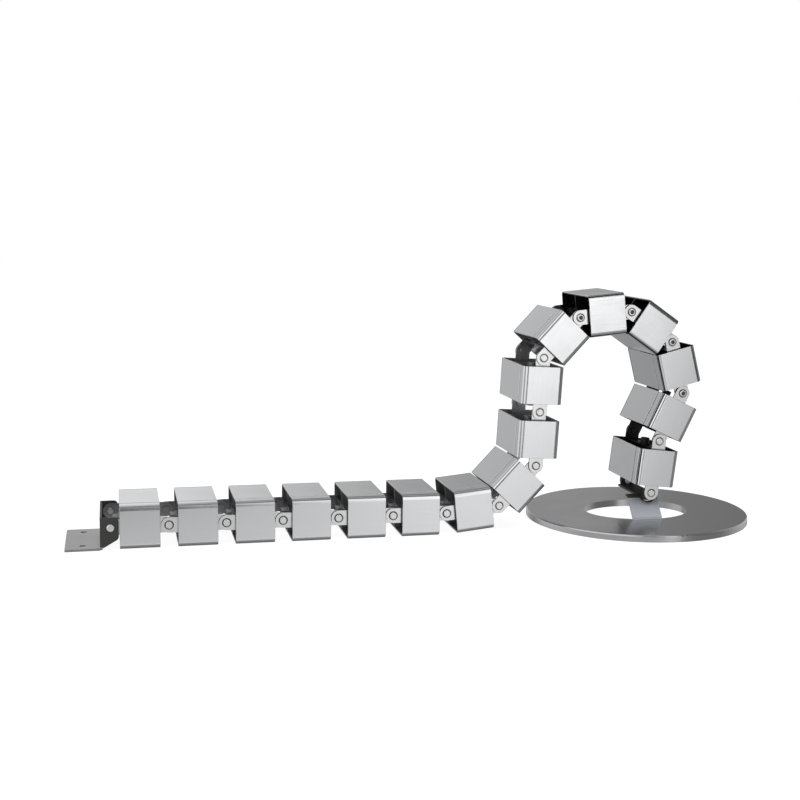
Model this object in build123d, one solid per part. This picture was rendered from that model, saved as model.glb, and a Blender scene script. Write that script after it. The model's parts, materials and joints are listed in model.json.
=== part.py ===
from build123d import *
import math
import os

# A cable spine: sixteen square box links hinged in a row, a ring base that
# stands on the floor and a bracket that screws under a desk top.
# Millimetres and degrees. +Z is up, the row runs along X, the hinge axes lie
# along Y, and the origin is the centre of the ring's underside.

os.makedirs("parts", exist_ok=True)

# Row of links
link_count = 16
hinge_pitch = 50.0
chain_y = -6.0
row_angle = 180.0
# Bend at each hinge, counted from the upright base bracket outwards
rest_bends = [-6.5, -19.0, 40.0, 41.0, 40.0, 41.5, 40.0, 0.0, -40.5, -40.5, -6.0]

# Box of a link
box_length = 34.5
box_height = 38.5
box_width = 75.0
box_corner_radius = 4.5
skin_thickness = 1.8
front_seam_inset = 12.0
rear_seam_inset = 5.0
seam_gap = 1.2
lap_length = 3.0
lap_end_gap = 0.4
divider_thickness = 2.0
divider_fillet = 1.5
boss_radius = 4.5
rail_thickness = 1.4
rail_depth = 3.6
rail_length = 18.0

# Hinge frame of a link
strap_thickness = 1.6
strap_height = 13.6
strap_side_gap = 2.7
side_clearance = 0.2
edge_clearance = 0.1
joggle_start = -8.0
joggle_length = 4.0
crossbar_height = 9.0
crossbar_inset = 0.4
crossbar_eye_radius = 6.5
screw_hole_radius = 2.1

# Centre screw of a link
screw_radius = 1.6
screw_length = 14.0
screw_bore_clearance = 0.1
screw_head_radius = 4.15
screw_head_height = 4.8
screw_socket_radius = 2.2
screw_socket_depth = 2.6
washer_radius = 5.5
washer_thickness = 1.5

# Hinge rivets
rivet_radius = 2.0
rivet_running_clearance = 0.05
rivet_head_radius = 3.5
rivet_head_height = 1.3
rivet_dome_fillet = 1.0
rivet_tail_radius = 2.9
rivet_tail_height = 0.9

# Ring base
ring_radius = 106.0
ring_thickness = 6.5
ring_hole_half_x = 51.0
ring_hole_half_y = 41.7
ring_edge_radius = 1.6

# Base bracket, folded from one strip
base_sheet = 2.0
leg_width = 29.0
leg_offset_x = -5.0
leg_front_gap = 0.5
leg_straight_height = 8.0
leg_top_y = -20.0
leg_top_drop = 4.4
foot_length = 24.0
foot_lift = 0.2
foot_fit = 0.2
web_width = 18.0
window_width = 17.0
window_drop = 9.5
foot_screw_spacing = 14.0
foot_screw_radius = 2.0
foot_screw_head_radius = 3.8
foot_screw_length = 4.5

# Desk bracket, folded from one sheet
desk_sheet = 2.0
desk_web_reach = 9.0
desk_ear_reach = 7.0
desk_ear_rise = 9.0
desk_ear_tip_drop = 10.0
desk_corner_radius = 4.0
desk_flange_length = 30.0
desk_flange_side_inset = 0.5
desk_hole_spacing = 50.0
desk_hole_radius = 2.6
desk_hole_inset = 15.0
desk_fold_radius = 1.0

# Places that follow from the sizes above
half_box = box_length / 2
half_height = box_height / 2
half_width = box_width / 2
lap_thickness = skin_thickness / 2
front_seam_y = front_seam_inset - half_width
rear_seam_y = half_width - rear_seam_inset
strap_outer_face = half_width - skin_thickness - strap_side_gap
strap_inner_face = strap_outer_face - strap_thickness
nested_outer_face = strap_inner_face - side_clearance
nested_inner_face = nested_outer_face - strap_thickness
base_ear_outer_face = nested_inner_face - side_clearance
base_ear_inner_face = base_ear_outer_face - base_sheet
desk_ear_inner_face = strap_outer_face + side_clearance
desk_ear_outer_face = desk_ear_inner_face + desk_sheet
crossbar_front = half_box - crossbar_inset
crossbar_back = crossbar_front - strap_thickness
rivet_hole_radius = rivet_radius + rivet_running_clearance
desk_flange_width = box_width - 2 * desk_flange_side_inset
leg_front_y = -ring_hole_half_y - leg_front_gap
foot_screw_y = leg_front_y - foot_length / 2 + base_sheet

link_angles = []
heading = 90.0
for hinge in range(link_count):
    if hinge < len(rest_bends):
        heading += rest_bends[hinge]
    link_angles.append(heading)

rise = sum(math.sin(math.radians(a)) for a in link_angles)
base_hinge_z = half_height - hinge_pitch * rise

hinge_points = [(0.0, base_hinge_z)]
for a in link_angles:
    x, z = hinge_points[-1]
    step_x = hinge_pitch * math.cos(math.radians(a))
    step_z = hinge_pitch * math.sin(math.radians(a))
    hinge_points.append((x + step_x, z + step_z))


def link_place(index):
    """Place of a link's middle, with its own +X towards the next hinge."""
    x0, z0 = hinge_points[index]
    x1, z1 = hinge_points[index + 1]
    return Location(((x0 + x1) / 2, chain_y, (z0 + z1) / 2), (0, -link_angles[index], 0))


def along_x(section, length):
    """A section drawn with its width along Y and its height along Z."""
    return extrude(Plane.YZ * section, amount=length / 2, both=True)


def along_y(section, low, high):
    """A section drawn with its width along X and its height along Z."""
    slab = extrude(Plane.XZ * section, amount=(high - low) / 2, both=True)
    return Pos(0, (low + high) / 2, 0) * slab


def rod_y(radius, low, high):
    return along_y(Circle(radius), low, high)


def rod_x(radius, low, high):
    return Pos((low + high) / 2, 0, 0) * along_x(Circle(radius), high - low)


def both_sides(piece):
    """The piece and its mirror image across the middle of the row."""
    return [piece, mirror(piece, about=Plane.XZ)]


def sheet_outline(points, thickness):
    """Outline of a folded sheet whose middle line runs through the points."""
    left = []
    right = []
    for i, (u, v) in enumerate(points):
        before = points[max(i - 1, 0)]
        after = points[min(i + 1, len(points) - 1)]
        into = Vector(u - before[0], v - before[1]) if i else None
        out = Vector(after[0] - u, after[1] - v) if i < len(points) - 1 else into
        into = (into or out).normalized()
        out = out.normalized()
        normal = Vector(-into.Y - out.Y, into.X + out.X).normalized()
        reach = thickness / 2 / (normal.X * -out.Y + normal.Y * out.X)
        left.append((u + normal.X * reach, v + normal.Y * reach))
        right.append((u - normal.X * reach, v - normal.Y * reach))
    return Polygon(*left, *reversed(right), align=None)


def make_profile():
    """The middle extrusion: top and bottom panel, divider and screw boss."""
    panel_z = half_height - skin_thickness / 2
    panel_middle = (front_seam_y + rear_seam_y) / 2
    panel = Rectangle(rear_seam_y - front_seam_y - seam_gap, skin_thickness)
    section = Rectangle(divider_thickness, box_height)
    rebate_length = lap_length + lap_end_gap
    rebate_z = half_height - skin_thickness + lap_thickness / 2
    rebates = [front_seam_y + (seam_gap + rebate_length) / 2]
    rebates.append(rear_seam_y - (seam_gap + rebate_length) / 2)
    for side in (1, -1):
        section += Pos(panel_middle, side * panel_z) * panel
        for rebate_y in rebates:
            rebate = Rectangle(rebate_length, lap_thickness)
            section -= Pos(rebate_y, side * rebate_z) * rebate
    corner_z = half_height - skin_thickness
    corners = [
        v
        for v in section.vertices()
        if abs(abs(v.Y) - corner_z) < 0.01 and abs(v.X) < divider_thickness
    ]
    section = fillet(corners, divider_fillet)
    section += Circle(boss_radius)
    section -= Circle(screw_radius + screw_bore_clearance)
    body = along_x(section, box_length)
    seat_depth = half_box - crossbar_back
    seat_height = 2 * crossbar_eye_radius + 2 * edge_clearance
    seat = Pos(half_box - seat_depth / 2, 0, 0) * Box(seat_depth, seat_height, seat_height)
    return body - seat


def make_cover(seam_inset):
    """A front snap-on cover: a C with rounded corners, lap edges and rails."""
    outside = RectangleRounded(box_width, box_height, box_corner_radius)
    inside = RectangleRounded(
        box_width - 2 * skin_thickness,
        box_height - 2 * skin_thickness,
        box_corner_radius - skin_thickness,
    )
    edge = half_width - seam_inset + seam_gap / 2
    keep = Pos(-edge - seam_inset, 0) * Rectangle(2 * seam_inset, box_height)
    section = (outside - inside) & keep
    tongue_z = half_height - skin_thickness + lap_thickness / 2
    tongue_y = -edge + (seam_gap + lap_length) / 2
    rail_z = strap_height / 2 + edge_clearance + rail_thickness / 2
    rail_y = -half_width + skin_thickness + rail_depth / 2
    for side in (1, -1):
        tongue = Rectangle(seam_gap + lap_length, lap_thickness)
        section += Pos(tongue_y, side * tongue_z) * tongue
    cover = along_x(section, box_length)
    for side in (1, -1):
        rail = Pos(rail_y, side * rail_z) * Rectangle(rail_depth, rail_thickness)
        cover += along_x(rail, rail_length)
    return cover


def make_hinge_frame():
    """Two cranked straps with round ends, joined by a crossbar."""
    half_pitch = hinge_pitch / 2
    tip = half_pitch + strap_height
    joggle_end = joggle_start - joggle_length
    plan = Polygon(
        (tip, strap_outer_face),
        (joggle_start, strap_outer_face),
        (joggle_end, nested_outer_face),
        (-tip, nested_outer_face),
        (-tip, nested_inner_face),
        (joggle_end, nested_inner_face),
        (joggle_start, strap_inner_face),
        (tip, strap_inner_face),
        align=None,
    )
    strap = extrude(plan, amount=strap_height, both=True)
    side_view = SlotCenterToCenter(hinge_pitch, strap_height)
    for end in (1, -1):
        side_view -= Pos(end * half_pitch, 0) * Circle(rivet_hole_radius)
    strap = strap & along_y(side_view, 0, half_width)
    bar = Rectangle(2 * strap_inner_face + strap_thickness, crossbar_height)
    bar += Circle(crossbar_eye_radius)
    bar -= Circle(screw_hole_radius)
    crossbar = Pos((crossbar_front + crossbar_back) / 2, 0, 0) * along_x(bar, strap_thickness)
    straps = both_sides(strap)
    return straps[0] + crossbar + straps[1]


def make_centre_screw():
    """Socket screw and washer that hold the hinge frame to the boss."""
    washer_front = crossbar_front + washer_thickness
    washer = rod_x(washer_radius, crossbar_front, washer_front)
    washer -= rod_x(screw_radius + screw_bore_clearance, crossbar_front, washer_front)
    head_front = washer_front + screw_head_height
    screw = rod_x(screw_radius, washer_front - screw_length, washer_front)
    screw += rod_x(screw_head_radius, washer_front, head_front)
    socket = RegularPolygon(screw_socket_radius, 6)
    screw -= Pos(head_front, 0, 0) * along_x(socket, 2 * screw_socket_depth)
    return [washer, screw]


def make_rivet(head_face, tail_face):
    """Rivet along Y, its head outside head_face and its tail inside tail_face."""
    head_top = head_face + rivet_head_height
    rivet = rod_y(rivet_radius, tail_face, head_face)
    head = rod_y(rivet_head_radius, head_face, head_top)
    rim = [e for e in head.edges() if e.center().Y > head_top - 0.01]
    rivet += fillet(rim, rivet_dome_fillet)
    rivet += rod_y(rivet_tail_radius, tail_face - rivet_tail_height, tail_face)
    return rivet


def make_ring():
    """Floor ring with an oval cable hole and a pocket for the bracket's foot."""
    ring = extrude(Circle(ring_radius), amount=ring_thickness)
    rims = [e for e in ring.edges() if e.center().Z > ring_thickness - 0.01]
    ring = fillet(rims, ring_edge_radius)
    hole = extrude(Ellipse(ring_hole_half_x, ring_hole_half_y), amount=ring_thickness)
    ring -= hole
    slot_width = leg_width + 2 * foot_fit
    pocket_height = foot_lift + base_sheet
    slot = Box(slot_width, 2 * base_sheet, ring_thickness, align=(Align.CENTER, Align.MIN, Align.MIN))
    ring -= Pos(leg_offset_x, leg_front_y, 0) * slot
    pocket_length = foot_length + foot_fit
    pocket = Box(slot_width, pocket_length, pocket_height, align=(Align.CENTER, Align.MAX, Align.MIN))
    ring -= Pos(leg_offset_x, leg_front_y + base_sheet, 0) * pocket
    for side in (1, -1):
        x = leg_offset_x + side * foot_screw_spacing / 2
        bore = Cylinder(foot_screw_radius + screw_bore_clearance, foot_screw_length)
        ring -= Pos(x, foot_screw_y, foot_screw_length / 2) * bore
    return ring


def make_base_bracket():
    """Foot and leaning leg in one strip, and a web with two ears cut from it."""
    sheet_y = leg_front_y + base_sheet / 2 - chain_y
    foot_z = foot_lift + base_sheet / 2
    web_z = base_hinge_z - leg_top_drop
    ear_y = base_ear_inner_face + base_sheet / 2
    knee = (leg_top_y, web_z)
    leg_line = [
        (sheet_y + base_sheet / 2 - foot_length, foot_z),
        (sheet_y, foot_z),
        (sheet_y, leg_straight_height),
        knee,
        (knee[0] + 2 * base_sheet, web_z),
    ]
    leg = along_x(sheet_outline(leg_line, base_sheet), leg_width)
    leg = Pos(leg_offset_x, 0, 0) * leg
    window = SlotCenterToCenter(2 * window_width, window_width, rotation=90)
    window_z = base_hinge_z - window_drop + 1.5 * window_width
    leg -= along_y(Pos(0, window_z) * window, -half_width, leg_top_y - base_sheet)
    rear_line = [knee, (ear_y, web_z), (ear_y, base_hinge_z)]
    front_line = [knee, (-ear_y, web_z), (-ear_y, base_hinge_z)]
    rear_web = along_x(sheet_outline(rear_line, base_sheet), web_width)
    front_web = along_x(sheet_outline(front_line, base_sheet), strap_height)
    ear = SlotCenterToCenter(2 * strap_height, strap_height, rotation=90)
    ear = Pos(0, base_hinge_z - strap_height) * ear
    ear = ear & Pos(0, base_hinge_z) * Rectangle(web_width, 2 * (leg_top_drop + base_sheet / 2))
    trim_height = 2 * (leg_top_drop - base_sheet / 2)
    bracket = leg + rear_web + front_web
    for side in (1, -1):
        trim = Box(web_width, base_sheet, trim_height)
        bracket -= Pos(0, side * ear_y, base_hinge_z) * trim
    for upright in both_sides(along_y(ear, base_ear_inner_face, base_ear_outer_face)):
        bracket += upright
    bore = Pos(0, base_hinge_z) * Circle(rivet_hole_radius)
    bracket -= along_y(bore, -half_width, half_width)
    for side in (1, -1):
        x = leg_offset_x + side * foot_screw_spacing / 2
        sink = Cone(
            foot_screw_head_radius,
            foot_screw_radius + screw_bore_clearance,
            base_sheet,
        )
        bracket -= Pos(x, foot_screw_y - chain_y, foot_z) * sink
    return Pos(0, chain_y, 0) * bracket


def make_foot_screw(side):
    """Countersunk screw that pulls the foot up into the ring's pocket."""
    x = leg_offset_x + side * foot_screw_spacing / 2
    foot_z = foot_lift + base_sheet / 2
    head = Cone(foot_screw_head_radius - edge_clearance, foot_screw_radius, base_sheet)
    shank = Cylinder(foot_screw_radius, foot_screw_length - foot_lift)
    screw = Pos(x, foot_screw_y, foot_z) * head
    screw += Pos(x, foot_screw_y, (foot_screw_length + foot_lift) / 2) * shank
    return screw


def make_desk_bracket():
    """Flange with two holes, an upright web and two ears around the last link."""
    web_x = -desk_web_reach
    flange = Rectangle(desk_flange_length, desk_flange_width, align=(Align.MAX, Align.CENTER))
    outer_corners = [v for v in flange.vertices() if v.X < -1]
    flange = fillet(outer_corners, desk_fold_radius)
    for side in (1, -1):
        hole = Circle(desk_hole_radius)
        flange -= Pos(-desk_hole_inset, side * desk_hole_spacing / 2) * hole
    plate = Pos(web_x, 0, -half_height) * extrude(flange, amount=desk_sheet)
    web_height = half_height + desk_ear_rise
    web = Box(
        desk_sheet,
        2 * desk_ear_outer_face,
        web_height,
        align=(Align.MIN, Align.CENTER, Align.MIN),
    )
    plate += Pos(web_x, 0, -half_height) * web
    side_view = Polygon(
        (web_x, -half_height),
        (desk_ear_reach, -desk_ear_tip_drop),
        (desk_ear_reach, desk_ear_rise),
        (web_x, desk_ear_rise),
        align=None,
    )
    tips = [v for v in side_view.vertices() if v.X > 0]
    side_view = fillet(tips, desk_corner_radius)
    side_view -= Circle(rivet_hole_radius)
    ear = along_y(side_view, desk_ear_inner_face, desk_ear_outer_face)
    ears = both_sides(ear)
    plate = plate + ears[0] + ears[1]
    x, z = hinge_points[-1]
    return Pos(x, chain_y, z) * plate


def save(name, solids):
    export_step(Compound(children=list(solids)) if len(solids) > 1 else solids[0], f"parts/{name}.step")


profile = make_profile()
front_cover = make_cover(front_seam_inset)
rear_cover = mirror(make_cover(rear_seam_inset), about=Plane.XZ)
covers = [front_cover, rear_cover]
frame = make_hinge_frame()
centre_screw = make_centre_screw()
link_rivet = make_rivet(strap_outer_face, nested_inner_face - edge_clearance)
base_rivet = make_rivet(nested_outer_face + edge_clearance, base_ear_inner_face)
desk_rivet = make_rivet(desk_ear_outer_face, strap_inner_face - edge_clearance)

for index in range(link_count):
    name = f"link_{index + 1:02d}"
    place = link_place(index)
    hinge_parts = [frame] + centre_screw
    if index < link_count - 1:
        hinge_parts += [Pos(hinge_pitch / 2, 0, 0) * r for r in both_sides(link_rivet)]
    save(f"{name}_profile", [place * profile])
    save(f"{name}_covers", [place * c for c in covers])
    save(f"{name}_hinge_frame", [place * p for p in hinge_parts])

base_pin_place = Location((0, chain_y, base_hinge_z))
desk_x, desk_z = hinge_points[-1]
desk_pin_place = Location((desk_x, chain_y, desk_z))
save("floor_ring", [make_ring()])
save("base_bracket", [make_base_bracket()])
save("base_foot_screws", [make_foot_screw(side) for side in (1, -1)])
save("base_hinge_rivets", [base_pin_place * r for r in both_sides(base_rivet)])
save("desk_bracket", [make_desk_bracket()])
save("desk_hinge_rivets", [desk_pin_place * r for r in both_sides(desk_rivet)])
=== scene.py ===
import json
import math

import bmesh
import bpy
from mathutils import Matrix, Vector

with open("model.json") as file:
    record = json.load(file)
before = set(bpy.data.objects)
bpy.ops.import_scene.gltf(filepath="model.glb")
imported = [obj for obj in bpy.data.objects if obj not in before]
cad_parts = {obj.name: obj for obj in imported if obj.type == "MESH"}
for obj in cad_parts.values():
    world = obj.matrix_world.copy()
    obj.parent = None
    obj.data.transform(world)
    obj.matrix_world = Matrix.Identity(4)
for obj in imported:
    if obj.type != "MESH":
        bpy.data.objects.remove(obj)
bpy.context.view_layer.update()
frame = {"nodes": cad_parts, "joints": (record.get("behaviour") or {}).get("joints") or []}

# A jointed cable spine: open links of satin aluminium, riveted steel hinges and a
# heavy steel ring on the floor. Metres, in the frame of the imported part.

# Each link lies between the two hinges that it turns on
hinges = [Vector(joint["pos_m"]) for joint in frame["joints"]]
link_names = [f"link_{i + 1:02d}" for i in range(len(hinges) - 1)]


def link_place(index):
    """Matrix from a link's own frame, +X towards its outer hinge, to the row frame."""
    inner, outer = hinges[index], hinges[index + 1]
    step = outer - inner
    turn = Matrix.Rotation(-math.atan2(step.z, step.x), 4, "Y")
    return Matrix.Translation((inner + outer) / 2) @ turn


class Value:
    """A shader value that Python's operators join with Math nodes."""

    def __init__(self, finish, socket):
        self.finish = finish
        self.socket = socket

    def maths(self, operation, first, second):
        settings = {"operation": operation}
        return self.finish.add("ShaderNodeMath", settings, {0: first, 1: second})

    def __add__(self, other):
        return self.maths("ADD", self, other)

    def __radd__(self, other):
        return self.maths("ADD", other, self)

    def __sub__(self, other):
        return self.maths("SUBTRACT", self, other)

    def __rsub__(self, other):
        return self.maths("SUBTRACT", other, self)

    def __mul__(self, other):
        return self.maths("MULTIPLY", self, other)

    def __rmul__(self, other):
        return self.maths("MULTIPLY", other, self)

    def __truediv__(self, other):
        return self.maths("DIVIDE", self, other)

    def __lt__(self, other):
        return self.maths("LESS_THAN", self, other)

    def __gt__(self, other):
        return self.maths("GREATER_THAN", self, other)

    def __and__(self, other):
        return self.maths("MINIMUM", self, other)

    def __or__(self, other):
        return self.maths("MAXIMUM", self, other)

    def __abs__(self):
        return self.maths("ABSOLUTE", self, 0.0)


def set_stops(elements, stops):
    """Gives a colour ramp its greys, each stop a place and a grey."""
    for place, grey in stops[1:-1]:
        elements.new(place).color = (grey, grey, grey, 1)
    for element, (place, grey) in ((elements[0], stops[0]), (elements[-1], stops[-1])):
        element.position = place
        element.color = (grey, grey, grey, 1)


class Finish:
    """The nodes of one material or of the world."""

    def __init__(self, tree):
        self.tree = tree
        tree.nodes.clear()

    def add(self, kind, settings=None, values=None, output=0):
        """A node of one type, with its settings first and then its inputs.

        Gives back the output of that number, or all of them where it is None.
        """
        node = self.tree.nodes.new(kind)
        for key, setting in (settings or {}).items():
            if key == "stops":
                set_stops(node.color_ramp.elements, setting)
            else:
                setattr(node, key, setting)
        for key, value in (values or {}).items():
            if isinstance(value, Value):
                self.tree.links.new(value.socket, node.inputs[key])
            else:
                node.inputs[key].default_value = value
        outputs = [Value(self, socket) for socket in node.outputs]
        if output is None or not outputs:
            return outputs
        return outputs[output]

    def axes(self, vector):
        """The X, Y and Z of a vector."""
        return self.add("ShaderNodeSeparateXYZ", None, {0: vector}, output=None)

    def noise(self, where, scale, detail):
        values = {"Vector": where, "Scale": scale, "Detail": detail}
        return self.add("ShaderNodeTexNoise", None, values)

    def ramp(self, value, stops):
        """Greys that follow a value through the given stops."""
        return self.add("ShaderNodeValToRGB", {"stops": stops}, {0: value})

    def blend(self, share, first, second):
        """A colour between two colours or colour values."""
        colours = {
            key: colour if isinstance(colour, Value) else (*colour, 1)
            for key, colour in ((6, first), (7, second))
        }
        settings = {"data_type": "RGBA"}
        return self.add("ShaderNodeMix", settings, {"Factor": share, **colours}, output=2)


def new_finish(name):
    material = bpy.data.materials.new(name)
    material.use_nodes = True
    return material, Finish(material.node_tree)


def own_place(finish, place):
    """Where a point lies in a piece's own frame."""
    where = finish.add("ShaderNodeTexCoord", output=3)
    turn = {"Vector": where, "Location": place.translation, "Rotation": place.to_euler()}
    return finish.add("ShaderNodeMapping", {"vector_type": "TEXTURE"}, turn)


# Brushed metal: how the grain is drawn out, and the scale and detail of its noises
LONG_GRAIN = (0.02, 1, 1)
SHORT_GRAIN = (0.3, 1, 1)
FINE_NOISE = (2600.0, 3.0)
BROAD_NOISE = (420.0, 2.0)
CLOUD_NOISE = (38.0, 2.0)
SPECK_NOISE = (900.0, 1.0)

# Each noise's share of the tone, and how far it moves the roughness
FINE_TONE = 0.40
BROAD_TONE = 0.35
CLOUD_TONE = 0.25
FINE_ROUGHNESS = 0.10
CLOUD_ROUGHNESS = 0.10
SPECK_ROUGHNESS = 0.05
GRAIN_STRENGTH = 0.04
GRAIN_DEPTH = 0.00003

PART_FRAME = Matrix()


class Mark:
    """A part of a surface with its own tone and roughness; some painted shade also turns the metal
    off.
    """

    def __init__(self, share, tone, roughness, non_metal=False):
        self.share = share
        self.tone = tone
        self.roughness = roughness
        self.non_metal = non_metal


def metal(name, tones, roughness, place=PART_FRAME, drawn=LONG_GRAIN, marks=None, bare=1.0):
    """Brushed metal from the light to the dark of two tones, its grain along own X.

    marks gives the surface's marks from a point's place along, across and up in the piece's own
    frame.
    bare is the share of clean metal, the rest a thin matt coat; the brackets' painted shade lowers
    it further.
    """
    light, dark = tones
    material, finish = new_finish(name)
    own = own_place(finish, place)
    grain = finish.add("ShaderNodeVectorMath", {"operation": "MULTIPLY"}, {0: own, 1: drawn})
    fine = finish.noise(grain, *FINE_NOISE)
    broad = finish.noise(grain, *BROAD_NOISE)
    cloud = finish.noise(own, *CLOUD_NOISE)
    speck = finish.noise(own, *SPECK_NOISE)
    tone = fine * FINE_TONE + broad * BROAD_TONE + cloud * CLOUD_TONE
    colour = finish.blend(tone, dark, light)
    rough = (fine - 0.5) * FINE_ROUGHNESS + (cloud - 0.5) * CLOUD_ROUGHNESS
    rough = rough + (speck - 0.5) * SPECK_ROUGHNESS + roughness
    for mark in marks(finish, *finish.axes(own)) if marks else ():
        colour = finish.blend(mark.share, colour, mark.tone)
        rough = rough + mark.share * (mark.roughness - roughness)
        # Painted shade on the brackets turns the metal off too, so that it reflects nothing
        if mark.non_metal:
            bare = (1 - mark.share) * bare
    bump = {"Strength": GRAIN_STRENGTH, "Distance": GRAIN_DEPTH, "Height": fine}
    values = {
        "Base Color": colour,
        "Metallic": bare,
        "Roughness": rough,
        "Normal": finish.add("ShaderNodeBump", None, bump),
    }
    surface = finish.add("ShaderNodeBsdfPrincipled", None, values)
    finish.add("ShaderNodeOutputMaterial", None, {"Surface": surface})
    return material


# A link's box in its own frame: what counts as inside, the cut ends and the seams
INSIDE_HEIGHT = 0.01845
INSIDE_WIDTH = 0.03660
CUT_END = 0.01722
FRONT_SEAM = -0.0255
REAR_SEAM = 0.0325
SEAM_HALF = 0.00062
SEAM_RIM = 0.00140

# Its hinge frame: the hinge's distance from the middle, and the painted shade on the rivets
HINGE_REACH = 0.025
RIVET_LINE = 0.00375
LINE_HALF = 0.00042
SOCKET_RADIUS = 0.0020
OUTWARD_MARGIN = 0.010

# Painted shade on the two end brackets, measured from the centre of their hinge
TAB_SHADOW_RADIUS = 0.0102
WEB_BOTTOM = -0.0060
FLANGE_TOP = -0.0168

# Tones and roughness of the marks: painted shade, a painted highlight and the dark seams
# Painted shade inside the links and on the straps' inner faces, black near the ring and grey
# further on; the black also draws the dark seams
SHADE_AND_SEAM_BLACK = (0.035, 0.035, 0.037)
SHADED = (0.38, 0.38, 0.39)
# A painted highlight along the seams and the cut ends of the covers
EDGE_HIGHLIGHT = (0.97, 0.97, 0.97)
# Painted shade round the rivets' heads and in their sockets, fainter in the arch, and a slightly
# darker painted shade on the end rivets' inward faces
RIVET_SHADE = (0.12, 0.12, 0.12)
FAINT_RIVET_SHADE = (0.42, 0.42, 0.42)
SOFT_INWARD_SHADE = (0.71, 0.715, 0.73)
# Painted shade on the two end brackets, near black and without metal
BRACKET_SHADE = (0.036, 0.035, 0.032)
SMOOTH = 0.24
SATIN = 0.35
DULL = 0.45
MATT = 0.50


def box_marks(inside_shade):
    """Painted shade inside a link, its dark seams, and a painted highlight along the seams and the
    cut ends.
    """

    def marks(finish, along, across, up):
        inside = (abs(up) < INSIDE_HEIGHT) & (abs(across) < INSIDE_WIDTH)
        off_front, off_rear = abs(across - FRONT_SEAM), abs(across - REAR_SEAM)
        seams = (off_front < SEAM_HALF) | (off_rear < SEAM_HALF)
        lit_rims = (abs(along) > CUT_END) | (off_front < SEAM_RIM) | (off_rear < SEAM_RIM)
        # The rims get a painted highlight and the inside gets painted shade; the seams are dark
        # joints
        return [
            Mark(lit_rims, EDGE_HIGHLIGHT, SMOOTH),
            Mark(seams, SHADE_AND_SEAM_BLACK, DULL),
            Mark(inside, inside_shade, DULL),
        ]

    return marks


def rivet_line(along, up, centre):
    """1 on the thin line round a rivet's head where shade is painted, seen along the hinge."""
    off = along - centre
    square = off * off + up * up
    inner, outer = RIVET_LINE - LINE_HALF, RIVET_LINE + LINE_HALF
    return (square > inner**2) & (square < outer**2)


def outward(finish, across):
    """1 on faces that look away from the middle of the row, towards either side."""
    facing = finish.add("ShaderNodeTexCoord", output=1)
    _, facing_across, _ = finish.axes(facing)
    return facing_across * across > OUTWARD_MARGIN


def hinge_marks(inner_shade, line_shade, socket=False, reach=HINGE_REACH):
    """Painted shade: a line round each rivet's head, a dark socket in some, and all but the outer
    faces of the straps.
    """

    def marks(finish, along, across, up):
        lines = rivet_line(along, up, reach)
        if reach:
            lines = lines | rivet_line(along, up, -reach)
        found = [Mark(lines, line_shade, DULL)]
        if socket:
            off = along - reach
            found.append(Mark(off * off + up * up < SOCKET_RADIUS**2, RIVET_SHADE, DULL))
        found.append(Mark(1 - outward(finish, across), inner_shade, SATIN))
        return found

    return marks


def base_bracket_marks(finish, along, across, up):
    """Painted shade on the base bracket's web and ears, and a painted shadow round its hinge under
    the front ear.
    """
    tab_shadow = along * along + up * up < TAB_SHADOW_RADIUS**2
    return [Mark((up > WEB_BOTTOM) | tab_shadow, BRACKET_SHADE, MATT, non_metal=True)]


def desk_bracket_marks(finish, along, across, up):
    """Painted shade on the desk bracket's upright part."""
    return [Mark(up > FLANGE_TOP, BRACKET_SHADE, MATT, non_metal=True)]


# Finely broken edges on the CAD nodes
WELD_DISTANCE = 1e-6
FLAT_ANGLE = math.radians(0.5)
EDGE_ANGLE = math.radians(40)
EDGE_WIDTH = 0.0002


def dress(node, material):
    """Gives a CAD node its material and its broken edges."""
    piece = frame["nodes"][node]
    piece.data.materials.clear()
    piece.data.materials.append(material)
    weld = piece.modifiers.new("weld", "WELD")
    weld.merge_threshold = WELD_DISTANCE
    flat = piece.modifiers.new("flat", "DECIMATE")
    flat.decimate_type = "DISSOLVE"
    flat.angle_limit = FLAT_ANGLE
    bevel = piece.modifiers.new("edge", "BEVEL")
    bevel.width = EDGE_WIDTH
    bevel.segments = 2
    bevel.limit_method = "ANGLE"
    bevel.angle_limit = EDGE_ANGLE
    even = piece.modifiers.new("even", "WEIGHTED_NORMAL")
    even.mode = "FACE_AREA"
    even.keep_sharp = True


# The light and the dark tone of each metal
ALUMINIUM = ((0.80, 0.805, 0.82), (0.71, 0.715, 0.73))
STEEL = ((0.97, 0.97, 0.97), (0.66, 0.66, 0.67))
RING_STEEL = ((0.55, 0.55, 0.565), (0.47, 0.47, 0.48))
BRACKET_ZINC = ((0.60, 0.63, 0.68), (0.48, 0.51, 0.56))
DESK_STEEL = ((0.40, 0.40, 0.40), (0.30, 0.30, 0.30))

# Counted from the ring, the first link being 0: where the painted shade inside the links turns
# from black to grey, where the flat row begins and the painted shade round its rivets darkens, and
# the links whose rivets show a painted socket
FIRST_GREY_LINK = 5
FIRST_ROW_LINK = 9
SOCKET_LINKS = range(1, 5)


def dress_link(index, link):
    """A link's covers and profile in aluminium, and its hinge frame in steel."""
    place = link_place(index)
    # Painted shade inside the link and on its straps' inner faces, and round its rivets
    inside_shade = SHADE_AND_SEAM_BLACK if index < FIRST_GREY_LINK else SHADED
    line_shade = FAINT_RIVET_SHADE if index < FIRST_ROW_LINK else RIVET_SHADE
    box = box_marks(inside_shade)
    hinge = hinge_marks(inside_shade, line_shade, socket=index in SOCKET_LINKS)
    skin = metal(f"{link}_aluminium", ALUMINIUM, 0.20, place, marks=box)
    core = metal(f"{link}_core_aluminium", ALUMINIUM, 0.22, place, marks=box)
    steel = metal(f"{link}_steel", STEEL, 0.24, place, SHORT_GRAIN, hinge)
    dress(f"{link}_covers", skin)
    dress(f"{link}_profile", core)
    dress(f"{link}_hinge_frame", steel)


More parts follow.
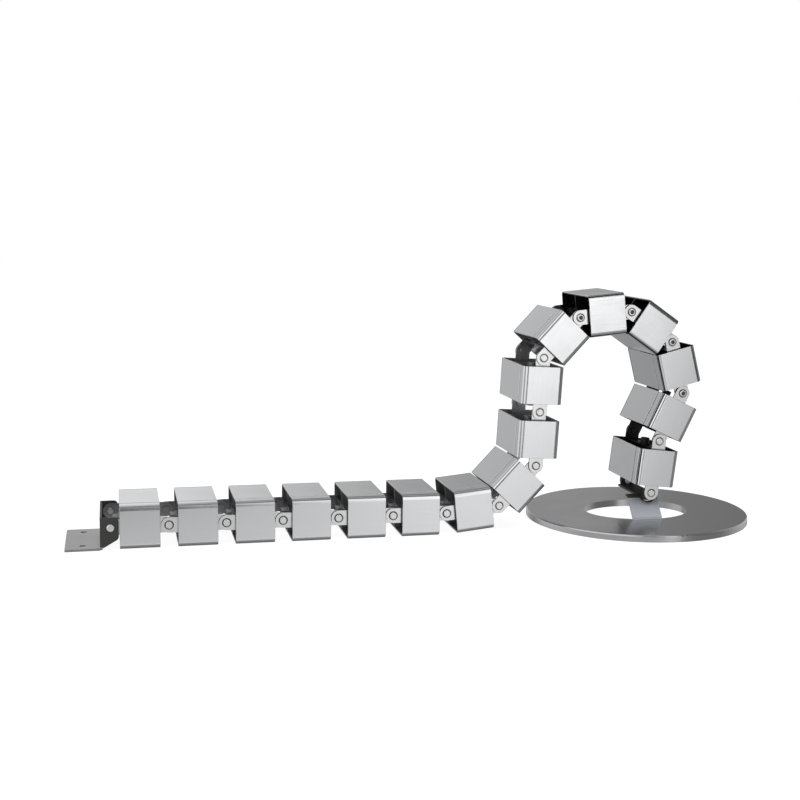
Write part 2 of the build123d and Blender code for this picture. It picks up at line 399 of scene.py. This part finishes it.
def dress_base():
    """The floor ring, the bracket that stands in it and the screws of its foot."""
    place = Matrix.Translation(hinges[0])
    marks = base_bracket_marks
    dress("floor_ring", metal("ring_steel", RING_STEEL, 0.22, bare=0.9))
    dress("base_bracket", metal("bracket_steel", BRACKET_ZINC, 0.40, place, marks=marks, bare=0.5))
    dress("base_foot_screws", metal("screw_steel", STEEL, 0.30))


def dress_desk_bracket():
    place = Matrix.Translation(hinges[-1])
    steel = metal("desk_steel", DESK_STEEL, 0.30, place, marks=desk_bracket_marks)
    dress("desk_bracket", steel)


def dress_end_rivets(node, centre):
    """The two rivets of the first or the last hinge, about that hinge's centre."""
    place = Matrix.Translation(centre)
    # Painted shade round the rivet heads, and a light painted shade on their inward faces
    marks = hinge_marks(SOFT_INWARD_SHADE, RIVET_SHADE, reach=0)
    dress(node, metal(f"{node}_steel", STEEL, 0.25, place, marks=marks))


for index, link in enumerate(link_names):
    dress_link(index, link)
dress_base()
dress_desk_bracket()
dress_end_rivets("base_hinge_rivets", hinges[0])
dress_end_rivets("desk_hinge_rivets", hinges[-1])


FLOOR_HALF = 6.0
FLOOR_TONE = (0.8, 0.8, 0.8, 1)
FLOOR_GLOW = 1.28
GLOW_SHARE = 0.72


def lay_floor():
    """A floor that is white to the camera and keeps the object's soft shadow."""
    sheet = bmesh.new()
    bmesh.ops.create_grid(sheet, x_segments=1, y_segments=1, size=FLOOR_HALF)
    mesh = bpy.data.meshes.new("floor")
    sheet.to_mesh(mesh)
    sheet.free()
    floor = bpy.data.objects.new("floor", mesh)
    bpy.context.scene.collection.objects.link(floor)
    material, finish = new_finish("pale_floor")
    camera_ray = finish.add("ShaderNodeLightPath", output=0)
    diffuse = finish.add("ShaderNodeBsdfDiffuse", None, {"Color": FLOOR_TONE})
    glow = finish.add("ShaderNodeEmission", None, {"Color": (1, 1, 1, 1), "Strength": FLOOR_GLOW})
    shares = {0: camera_ray * GLOW_SHARE, 1: diffuse, 2: glow}
    mixed = finish.add("ShaderNodeMixShader", None, shares)
    finish.add("ShaderNodeOutputMaterial", None, {"Surface": mixed})
    mesh.materials.append(material)
    floor.visible_glossy = False


lay_floor()

# The studio is white to the camera, and the metal sees a room of greys by direction.
# These run across the room, from its left (0) to its right (1)
REAR_WALL = (
    (0.0, 0.95), (0.15, 0.60), (0.25, 0.36), (0.34, 0.56), (0.40, 0.58), (0.46, 0.78),
    (0.51, 0.86), (0.55, 0.69), (0.59, 0.56), (0.612, 0.43), (0.69, 0.44), (0.72, 0.24),
    (0.80, 0.14), (0.90, 0.30), (1.0, 0.75),
)
REAR_SKY = (
    (0.0, 0.70), (0.40, 0.30), (0.51, 0.88), (0.53, 0.68), (0.58, 0.24), (0.80, 0.15), (1.0, 0.55),
)
FRONT_PANEL = (
    (0.0, 1.2), (0.33, 1.2), (0.40, 0.20), (0.54, 0.13), (0.57, 0.60), (0.62, 1.45),
    (0.70, 1.60), (0.718, 1.30), (0.729, 0.80), (0.738, 0.20), (0.9, 0.08),
)
FRONT_FLOOR = (
    (0.0, 0.60), (0.50, 0.78), (0.55, 0.76), (0.60, 0.82), (0.64, 1.00), (0.70, 0.72),
    (0.715, 0.60), (0.73, 0.38), (0.76, 0.28), (0.9, 0.22),
)
FLOOR_HAZE = ((0.50, 0.62), (0.61, 0.0))

# These run up the room, from straight down (0) to straight up (1)
HAZE_RISE = ((0.376, 0.0), (0.392, 1.0))
PANEL_RISE = ((0.41, 0.0), (0.455, 1.0))
SKY_RISE = ((0.635, 0.0), (0.665, 1.0))
WALL_FOOT = ((0.37, 0.65), (0.43, 1.0))
CEILING_RISE = ((0.93, 0.0), (0.99, 1.0))
GROUND_FALL = ((0.14, 1.0), (0.27, 0.0))

# This is the front's share, from the front of the room (0) to its rear (1)
FRONT_SHARE = ((0.0, 1.0), (1.0, 0.0))

CEILING_TONE = 0.55
GROUND_TONE = 0.26
MATT_TONE = 0.6
EDGE_ON = 0.02


def between(share, first, second):
    return first + share * (second - first)


def light_room():
    """The world: a white backdrop, the room that metal sees, and an even soft light."""
    world = bpy.data.worlds.new("studio")
    bpy.context.scene.world = world
    world.use_nodes = True
    finish = Finish(world.node_tree)
    rays = finish.add("ShaderNodeLightPath", output=None)
    camera_ray, glossy_ray = rays[0], rays[3]
    way = finish.add("ShaderNodeTexCoord", output=0)
    right, back, up = finish.axes(way)
    side = right / (abs(back) + EDGE_ON) * 0.5 + 0.5
    height = up * 0.5 + 0.5
    wall, sky = finish.ramp(side, REAR_WALL), finish.ramp(side, REAR_SKY)
    rear = between(finish.ramp(height, SKY_RISE), wall, sky) * finish.ramp(height, WALL_FOOT)
    haze = finish.ramp(side, FLOOR_HAZE) * finish.ramp(height, HAZE_RISE)
    ground = finish.ramp(side, FRONT_FLOOR) * (1 - haze)
    panel = finish.ramp(side, FRONT_PANEL)
    front = between(finish.ramp(height, PANEL_RISE), ground, panel)
    seen = between(finish.ramp(back * 2 + 0.5, FRONT_SHARE), rear, front)
    seen = between(finish.ramp(height, CEILING_RISE), seen, CEILING_TONE)
    seen = between(finish.ramp(height, GROUND_FALL), seen, GROUND_TONE)
    lit = between(glossy_ray, MATT_TONE, seen)
    level = between(camera_ray, lit, 1.0)
    background = finish.add("ShaderNodeBackground", None, {"Color": level, "Strength": 1.0})
    finish.add("ShaderNodeOutputWorld", None, {"Surface": background})


light_room()

SOFTBOX_AT = Vector((0.0, -0.45, 0.95))
SOFTBOX_AIM = Vector((-0.2, 0, 0.1))
SOFTBOX_WIDTH = 0.9
SOFTBOX_DEPTH = 0.5
SOFTBOX_POWER = 6.0


def hang_softbox():
    """A lamp that lights matt surfaces and casts the shadow, unseen in the metal."""
    lamp = bpy.data.lights.new("overhead_softbox", "AREA")
    lamp.shape = "RECTANGLE"
    lamp.size = SOFTBOX_WIDTH
    lamp.size_y = SOFTBOX_DEPTH
    lamp.energy = SOFTBOX_POWER
    box = bpy.data.objects.new("overhead_softbox", lamp)
    box.location = SOFTBOX_AT
    box.rotation_euler = (SOFTBOX_AIM - SOFTBOX_AT).to_track_quat("-Z", "Y").to_euler()
    box.visible_glossy = False
    bpy.context.scene.collection.objects.link(box)


hang_softbox()

# The camera: where it stands, its angles in degrees and its lens
CAMERA_AT = Vector((-0.4951, -1.1716, 0.2921))
CAMERA_YAW = 12.473
CAMERA_PITCH = 8.200
CAMERA_ROLL = 0.524
FOCAL_PIXELS = 1310.7
PICTURE_PIXELS = 800.0
SENSOR = 36.0
NEAREST = 0.01


def set_camera():
    """The camera at the photograph's viewing angle."""
    lens = bpy.data.cameras.new("camera")
    lens.sensor_width = SENSOR
    lens.lens = FOCAL_PIXELS / PICTURE_PIXELS * SENSOR
    lens.clip_start = NEAREST
    camera = bpy.data.objects.new("camera", lens)
    look = Matrix.Rotation(math.radians(-CAMERA_YAW), 4, "Z")
    look = look @ Matrix.Rotation(math.radians(90 - CAMERA_PITCH), 4, "X")
    look = look @ Matrix.Rotation(math.radians(CAMERA_ROLL), 4, "Z")
    camera.matrix_world = Matrix.Translation(CAMERA_AT) @ look
    bpy.context.scene.collection.objects.link(camera)
    bpy.context.scene.camera = camera


set_camera()
bpy.context.scene.view_settings.view_transform = "Standard"
